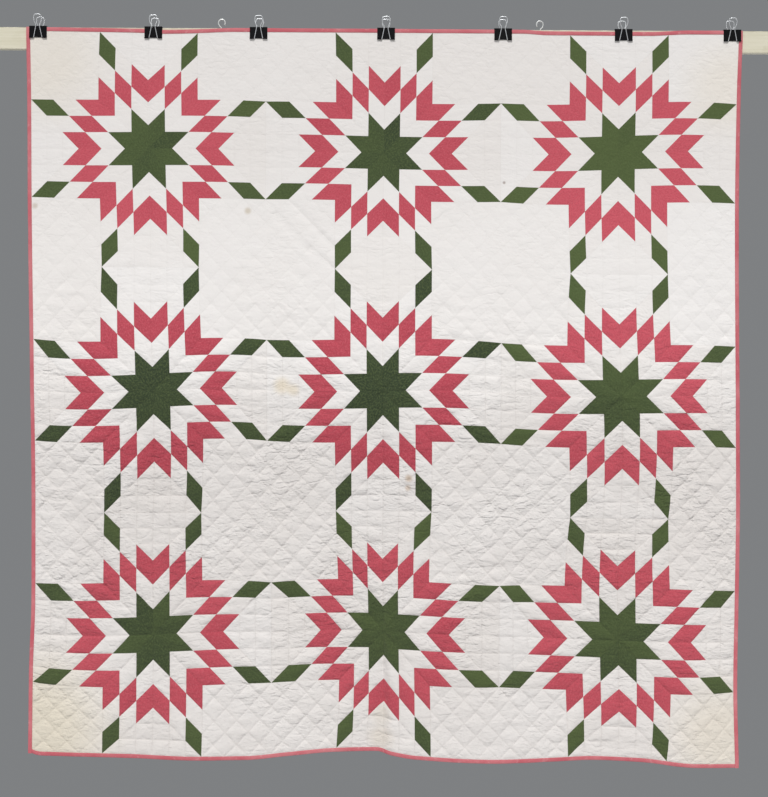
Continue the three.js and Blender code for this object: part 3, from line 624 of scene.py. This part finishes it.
def tube(name, points, radius, material, sides=12):
    """A round wire with domed ends along points in mm."""
    points = [Vector(p) for p in points]
    last = len(points) - 1
    ways = [(points[min(k + 1, last)] - points[max(k - 1, 0)]).normalized() for k in range(last + 1)]
    normal = ways[0].orthogonal().normalized()
    rings = []
    for k, (point, way) in enumerate(zip(points, ways)):
        normal = (normal - way * normal.dot(way)).normalized()
        rings.append((point, way, normal.copy(), radius))
    dome = [(0.45, 0.9), (0.8, 0.62)]
    first, final = rings[0], rings[-1]
    start = [(first[0] - first[1] * radius * a, first[1], first[2], radius * b) for a, b in reversed(dome)]
    end = [(final[0] + final[1] * radius * a, final[1], final[2], radius * b) for a, b in dome]
    out = []
    for point, way, normal, r in [*start, *rings, *end]:
        side = way.cross(normal)
        for i in range(sides):
            turn = 2 * math.pi * i / sides
            out.append((point + normal * r * math.cos(turn) + side * r * math.sin(turn)) * MM)
    return outward(new_mesh(name, out, loft_faces(len(rings) + 4, sides), material, 60))


def handle_points(x, pivot_y, pivot_z, tilt):
    """A clip's handle, from one pivot in the rolled edge, round the loop, to the other."""
    half = [
        (2 * WIRE_LOOP - 1.5, 0), (WIRE_LOOP + 2.6, 0), (WIRE_LOOP + 0.6, 0.5), (WIRE_LOOP, 2.8),
        (WIRE_WAIST, WIRE_LENGTH * 0.47), (WIRE_WAIST, WIRE_LENGTH * 0.55),
        (WIRE_LOOP * 0.92, WIRE_LENGTH * 0.7), (WIRE_LOOP, WIRE_LENGTH * 0.82),
        (WIRE_LOOP * 0.9, WIRE_LENGTH * 0.95), (WIRE_LOOP * 0.5, WIRE_LENGTH - 1.1),
    ]
    flat = [*half, *[(-a, b) for a, b in reversed(half)]]
    c, s = math.cos(math.radians(tilt)), math.sin(math.radians(tilt))
    return rounded([Vector((x + a, pivot_y - b * s, pivot_z + b * c)) for a, b in flat])


def hook_points(x, side):
    """A hook, from its shank in the batten round the open crook."""
    route = [
        (0, -14), (0, 1.5), (-2.5, 5), (-7.5, 10), (-10, 17.5), (-7.2, 25), (0, 28.5), (7, 26), (10, 20),
        (9.7, 15), (8.6, 12.5),
    ]
    return rounded([Vector((x + side * a, -HOOK_FORWARD, BATTEN_TOP + b)) for a, b in route])


# Materials


class Nodes:
    """A material's nodes, added one by one."""

    def __init__(self, name):
        self.material = bpy.data.materials.new(name)
        self.material.use_nodes = True
        self.tree = self.material.node_tree
        self.shader = self.tree.nodes["Principled BSDF"]

    def link(self, value, socket):
        if isinstance(value, bpy.types.NodeSocket):
            self.tree.links.new(value, socket)
        elif value is not None:
            socket.default_value = value

    def add(self, kind, out=0, settings=(), **inputs):
        node = self.tree.nodes.new(kind)
        for key, value in dict(settings).items():
            setattr(node, key, value)
        for key, value in inputs.items():
            numbered = key[0] == "i" and key[1:].isdigit()  # i0, i1 and i2 are inputs by number
            self.link(value, node.inputs[int(key[1:]) if numbered else key])
        return node.outputs[out]

    def math(self, operation, a, b=None, c=None):
        return self.add("ShaderNodeMath", 0, {"operation": operation}, i0=a, i1=b, i2=c)

    def smooth(self, value, low, high, to_low=0.0, to_high=1.0):
        """A smooth step between two values."""
        ends = {"From Min": low, "From Max": high, "To Min": to_low, "To Max": to_high}
        return self.add("ShaderNodeMapRange", 0, {"interpolation_type": "SMOOTHSTEP"}, Value=value, **ends)

    def mix(self, share, a, b, blend="MIX"):
        node = self.tree.nodes.new("ShaderNodeMix")
        node.data_type, node.blend_type = "RGBA", blend
        self.link(share, node.inputs[0])
        self.link(a, node.inputs[6])
        self.link(b, node.inputs[7])
        return node.outputs[2]

    def tinted(self, base, share, tint):
        """The colour base, multiplied by a tint as far as share says."""
        return self.mix(share, base, self.mix(1.0, base, tint, "MULTIPLY"))

    def noise(self, where, scale, detail=2.0, rough=0.5):
        return self.add("ShaderNodeTexNoise", 0, Vector=where, Scale=scale, Detail=detail, Roughness=rough)

    def scaled(self, where, x, y, z):
        return self.add("ShaderNodeVectorMath", 0, {"operation": "MULTIPLY"}, i0=where, i1=(x, y, z))

    def bump(self, height, strength, distance, normal=None):
        sizes = {"Height": height, "Strength": strength, "Distance": distance}
        return self.add("ShaderNodeBump", 0, Normal=normal, **sizes)

    def spot(self, where, x, z, radius):
        """1 inside a soft round spot on the cloth, 0 outside."""
        flat = self.scaled(where, 1, 0, 1)
        gap = self.add("ShaderNodeVectorMath", 1, {"operation": "DISTANCE"}, i0=flat, i1=(x, 0, z))
        return self.smooth(gap, radius * 1.6, radius * 0.3)


def linear(*colour):
    """A linear colour from an sRGB one of 0 to 255."""
    return (*(((c / 255 + 0.055) / 1.055) ** 2.4 if c > 10 else c / 255 / 12.92 for c in colour), 1.0)


def cotton(name, colour, faded, heather=0.0, print_colour=None):
    """Washed plain-weave cotton, with its quilting stitches, and painted shade in its seams, at its top and
    below its middle.
    """
    n = Nodes(name)
    where = n.add("ShaderNodeTexCoord", 3)
    weave = n.add("ShaderNodeUVMap", 0, {"uv_map": "Weave"})
    run = n.add("ShaderNodeSeparateXYZ", 0, Vector=n.add("ShaderNodeUVMap", 0, {"uv_map": "Run"}))
    on = run.node.outputs[1]
    shade = n.add("ShaderNodeAttribute", 2, {"attribute_name": "shade"})
    height = n.add("ShaderNodeSeparateXYZ", 2, Vector=where)

    blotch = n.noise(where, 5, 4.0, 0.6)
    patch = n.math("MULTIPLY_ADD", shade, 0.7, n.math("MULTIPLY", blotch, 0.5))
    base = n.mix(n.smooth(patch, 0.25, 0.9), linear(*colour), linear(*faded))
    if heather:
        mottle = n.noise(n.scaled(weave, 1.0, 1.6, 1.0), 150, 3.0, 0.65)
        base = n.mix(n.smooth(mottle, 0.42, 0.66, 0.0, heather), base, linear(*print_colour))
        slub = n.noise(n.scaled(weave, 0.4, 1.0, 1.0), 420, 2.0, 0.7)
        base = n.tinted(base, n.smooth(slub, 0.46, 0.66, 0.0, 0.42), (0.62, 0.55, 0.54, 1))
    fleck = n.noise(where, 700, 1.0)
    base = n.tinted(base, n.smooth(fleck, 0.35, 0.75, 0.0, 0.12), (0.78, 0.76, 0.72, 1))
    # Painted shade along the quilting lines, stronger lower down
    seams = n.smooth(run, 0.0, 0.0022, 0.12, 0.0)
    seams = n.math("MULTIPLY", seams, n.smooth(height, -0.6, -1.1, 0.4, 1.0))
    base = n.tinted(base, seams, (0.55, 0.5, 0.45, 1))
    # Painted shade: greyer towards the top and below the middle, where less light falls
    painted_shade = n.math("ADD", n.smooth(height, -0.8, -1.25), n.smooth(height, -0.6, -0.3, 0.0, 0.4))
    painted_shade = n.math("MULTIPLY", painted_shade, n.smooth(n.noise(where, 2.5, 3.0), 0.2, 0.7, 0.7, 1.0))
    base = n.tinted(base, painted_shade, (0.85, 0.838, 0.832, 1))
    n.link(base, n.shader.inputs["Base Color"])
    n.shader.inputs["Roughness"].default_value = 0.93
    n.shader.inputs["Specular IOR Level"].default_value = 0.2
    n.shader.inputs["Sheen Weight"].default_value = 0.1
    n.shader.inputs["Sheen Roughness"].default_value = 0.6

    warp, weft = (
        n.add("ShaderNodeTexWave", 0, {"bands_direction": way}, Vector=weave, Scale=370, Distortion=0.6)
        for way in "XY")
    normal = n.bump(n.math("ADD", warp, weft), 0.25, 0.0001)
    # Small wrinkles, most of them below the middle
    above, beneath = n.smooth(height, -0.62, -1.2, 0.26, 1.0), n.smooth(height, -2.1, -1.6, 0.62, 1.0)
    low = n.math("MULTIPLY", above, beneath)
    low = n.math("MULTIPLY", low, n.smooth(n.noise(where, 5.5, 2.0), 0.3, 0.7, 0.55, 1.25))
    drift = n.add("ShaderNodeTexNoise", 1, Vector=where, Scale=14.0, Detail=2.0)
    add_to = {"operation": "MULTIPLY_ADD"}
    wander = n.add("ShaderNodeVectorMath", 0, add_to, i0=drift, i1=(0.02, 0.02, 0.02), i2=where)
    for scale, depth in [((25, 25, 48), 0.0095), ((60, 60, 105), 0.0028)]:
        fold = n.math("SUBTRACT", n.noise(n.scaled(wander, *scale), 1.0), 0.5)
        fold = n.smooth(n.math("ABSOLUTE", fold), 0.0, 0.16, 0.0, 0.16)
        normal = n.bump(n.math("MULTIPLY", fold, low), 1.0, depth, normal)
    # The quilting lines and their running stitches
    groove = n.math("MULTIPLY", n.smooth(run, 0.0, 0.0045), n.smooth(height, -0.7, -1.2, 0.1, 1.0))
    normal = n.bump(groove, 1.0, 0.0004, normal)
    dash = n.math("PINGPONG", on, 0.0019)
    stitch = n.math("MULTIPLY", n.smooth(dash, 0.0006, 0.0009), n.smooth(run, 0.0007, 0.0002))
    normal = n.bump(stitch, 0.5, 0.0006, normal)
    n.link(normal, n.shader.inputs["Normal"])
    return n, where, base


def stained(n, where, base, marks):
    """Sets the base colour, with the marks in it."""
    for x, z, radius, colour, share in marks:
        amount = n.math("MULTIPLY", n.spot(where, x * MM, z * MM, radius * MM), share)
        base = n.tinted(base, amount, linear(*colour))
    n.link(base, n.shader.inputs["Base Color"])


# x, z, radius, tint, strength
STAINS = [
    (-288, -998, 22, (240, 222, 178), 0.45), (-255, -1010, 16, (240, 222, 178), 0.4),
    (78, -1262, 10, (200, 165, 120), 0.55), (76, -1290, 8, (200, 165, 120), 0.45),
    (-389, -495, 9, (200, 184, 150), 0.5), (-1002, -484, 8, (190, 172, 146), 0.45),
    (348, -410, 4, (120, 90, 70), 0.6),
    (2, -1940, 30, (236, 228, 208), 0.35), (2, -2010, 34, (236, 226, 204), 0.35),
    (-980, -60, 150, (246, 240, 222), 0.4), (1000, -130, 120, (248, 241, 224), 0.4),
    (985, -2000, 150, (246, 238, 216), 0.5), (-985, -1990, 190, (242, 234, 206), 0.6),
]


def paint_material():
    """Cream paint with brush streaks, and a painted shadow along the batten's top edge."""
    n = Nodes("cream_paint")
    where = n.add("ShaderNodeTexCoord", 3)
    streak = n.noise(n.scaled(where, 6, 80, 260), 1.0, 4.0, 0.6)
    base = n.mix(n.smooth(streak, 0.3, 0.75), linear(212, 206, 182), linear(224, 218, 198))
    mottle = n.noise(where, 18, 4.0, 0.6)
    base = n.mix(n.smooth(mottle, 0.55, 0.8, 0.0, 0.35), base, linear(190, 182, 152))
    high = n.add("ShaderNodeSeparateXYZ", 2, Vector=where)
    # A painted shadow darkens a strip along the batten's top edge
    painted_shade = n.math("MULTIPLY", n.smooth(high, 0.0296, 0.0312), n.smooth(n.noise(where, 40, 3.0), 0.35, 0.6))
    base = n.mix(n.math("MULTIPLY", painted_shade, 0.6), base, linear(128, 118, 96))
    n.link(base, n.shader.inputs["Base Color"])
    n.link(n.smooth(streak, 0.2, 0.8, 0.42, 0.62), n.shader.inputs["Roughness"])
    n.link(n.bump(streak, 0.35, 0.0004, n.bump(mottle, 0.2, 0.0005)), n.shader.inputs["Normal"])
    return n.material


def metal_material(name, colour, metallic, low, high, scale, gloss=0.5):
    """Metal or enamel with smudges, whose roughness runs from low to high."""
    n = Nodes(name)
    where = n.add("ShaderNodeTexCoord", 3)
    smudge = n.noise(where, scale, 3.0, 0.6)
    scratch = n.noise(n.scaled(where, 900, 900, 60), 1.0, 2.0)
    darker = linear(*[c * 0.72 for c in colour])
    base = n.mix(n.smooth(smudge, 0.35, 0.8, 0.0, 0.45), linear(*colour), darker)
    n.link(base, n.shader.inputs["Base Color"])
    n.shader.inputs["Metallic"].default_value = metallic
    n.shader.inputs["Specular IOR Level"].default_value = gloss
    n.link(n.smooth(smudge, 0.25, 0.8, low, high), n.shader.inputs["Roughness"])
    n.link(n.bump(scratch, 0.12, 0.00012), n.shader.inputs["Normal"])
    return n.material


def floor_material():
    n = Nodes("floor_grey")
    where = n.add("ShaderNodeTexCoord", 3)
    tone = n.noise(where, 1.5, 3.0)
    base = n.mix(n.smooth(tone, 0.3, 0.7), (0.62, 0.63, 0.64, 1), (0.66, 0.67, 0.68, 1))
    n.link(base, n.shader.inputs["Base Color"])
    n.shader.inputs["Roughness"].default_value = 0.9
    return n.material


def binding_material():
    """The binding's pink cotton, faded unevenly and rubbed."""
    n = Nodes("binding_pink")
    where = n.add("ShaderNodeTexCoord", 3)
    fade = n.noise(n.scaled(where, 9, 60, 9), 1.0, 4.0, 0.6)
    base = n.mix(n.smooth(fade, 0.3, 0.75), linear(192, 96, 105), linear(206, 124, 129))
    rub = n.noise(n.scaled(where, 60, 300, 60), 1.0, 3.0, 0.6)
    base = n.mix(n.smooth(rub, 0.55, 0.75, 0.0, 0.35), base, linear(218, 164, 164))
    n.link(base, n.shader.inputs["Base Color"])
    n.shader.inputs["Roughness"].default_value = 0.93
    n.shader.inputs["Specular IOR Level"].default_value = 0.2
    n.shader.inputs["Sheen Weight"].default_value = 0.12
    threads = n.noise(where, 1800, 1.0)
    normal = n.bump(threads, 0.25, 0.0001)
    normal = n.bump(n.noise(n.scaled(where, 120, 120, 120), 1.0, 3.0), 0.7, 0.0007, normal)
    n.link(normal, n.shader.inputs["Normal"])
    return n.material


# Assembly


def repaint(node, material):
    """Gives a solid that stays visible another material."""
    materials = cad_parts[node].data.materials
    materials.clear()
    materials.append(material)


quilt, rim_rows = make_quilt()
white_nodes, white_where, white_base = cotton("muslin_white", (240, 236, 233), (237, 232, 228))
stained(white_nodes, white_where, white_base, STAINS)
pink_nodes, *_ = cotton("madder_pink", (186, 72, 86), (205, 88, 101), 0.45, (212, 108, 118))
green_nodes, *_ = cotton("bottle_green", (54, 66, 45), (84, 99, 58), 0.55, (94, 108, 66))
back_nodes, *_ = cotton("muslin_back", (226, 220, 208), (216, 208, 194))
for nodes in (white_nodes, pink_nodes, green_nodes, back_nodes):
    quilt.data.materials.append(nodes.material)
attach(quilt, "root")
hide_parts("quilt")

binding_pink = binding_material()
for name, (places, side) in rim_rows.items():
    strip = make_binding(f"binding_{name}", places, side, binding_pink)
    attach(strip, "root")
    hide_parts(f"binding_{name}")

nickel = metal_material("nickel_wire", (238, 240, 242), 0.75, 0.32, 0.46, 60)
zinc = metal_material("bright_hook", (238, 240, 238), 0.6, 0.34, 0.48, 80)
enamel = metal_material("black_enamel", (7, 7, 9), 0.0, 0.4, 0.55, 50, 0.12)
jaw_front = -(CLOTH_BACK + THICK + BIND_GAP + BIND_LEAF + CLIP_GAP)
tube_radius = WIRE_RADIUS + CLIP_GAP + CLIP_SHEET
pivot_z = BATTEN_TOP - CLIP_DROP + tube_radius
for number, (x, (front_tilt, back_tilt)) in enumerate(zip(CLIP_XS, CLIP_TILTS), 1):
    ends = [("front", jaw_front - tube_radius, front_tilt), ("back", CLIP_GAP + tube_radius, -back_tilt)]
    for end, pivot, tilt in ends:
        points = handle_points(x, pivot, pivot_z, tilt)
        wire = tube(f"clip_{number}_wire_{end}", points, WIRE_RADIUS, nickel)
        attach(wire, "root")
        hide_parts(f"clip_{number}_handle_{end}")
    repaint(f"clip_{number}_body", enamel)
for name, x, side in HOOKS:
    hook = tube(f"{name}_wire", hook_points(x, side), HOOK_WIRE, zinc, 14)
    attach(hook, "root")
    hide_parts(name)
repaint("batten", paint_material())

# Floor, light and camera

floor_mesh = bpy.data.meshes.new("floor")
corners = [(-6, -9, -2.9), (6, -9, -2.9), (6, 2.6, -2.9), (-6, 2.6, -2.9)]
floor_mesh.from_pydata(corners, [], [(0, 1, 2, 3)])
floor_mesh.materials.append(floor_material())
floor = bpy.data.objects.new("floor", floor_mesh)
bpy.context.collection.objects.link(floor)


def area_light(name, at, to, size, size_y, power):
    data = bpy.data.lights.new(name, "AREA")
    data.shape, data.size, data.size_y, data.energy = "RECTANGLE", size, size_y, power
    light = bpy.data.objects.new(name, data)
    light.location = at
    light.rotation_euler = (Vector(to) - Vector(at)).to_track_quat("-Z", "Y").to_euler()
    bpy.context.collection.objects.link(light)


sun = bpy.data.lights.new("key", "SUN")
sun.energy, sun.angle = 2.6, math.radians(14)
key = bpy.data.objects.new("key", sun)
key.rotation_euler = Vector((0.06, 0.66, -0.75)).to_track_quat("-Z", "Y").to_euler()
bpy.context.collection.objects.link(key)
area_light("back", (1.5, 5.0, 0.6), (0, 0, -1.0), 3.0, 3.0, 110)
area_light("fill", (0.6, -6.5, -0.4), (0, 0, -1.0), 4.0, 3.0, 40)

world = bpy.data.worlds.new("studio")
bpy.context.scene.world = world
world.use_nodes = True
sky = world.node_tree.nodes["Background"].inputs
sky["Color"].default_value = (0.62, 0.64, 0.66, 1)
sky["Strength"].default_value = 0.34
bpy.context.scene.view_settings.view_transform = "Standard"

camera_data = bpy.data.cameras.new("camera")
camera_data.sensor_width, camera_data.lens = 36, 70.57
camera = bpy.data.objects.new("camera", camera_data)
camera.location = (0.0058, -4.522, -1.033)
camera.rotation_euler = (math.pi / 2, -0.00553, 0)  # the photograph is a third of a degree off level
bpy.context.collection.objects.link(camera)
bpy.context.scene.camera = camera
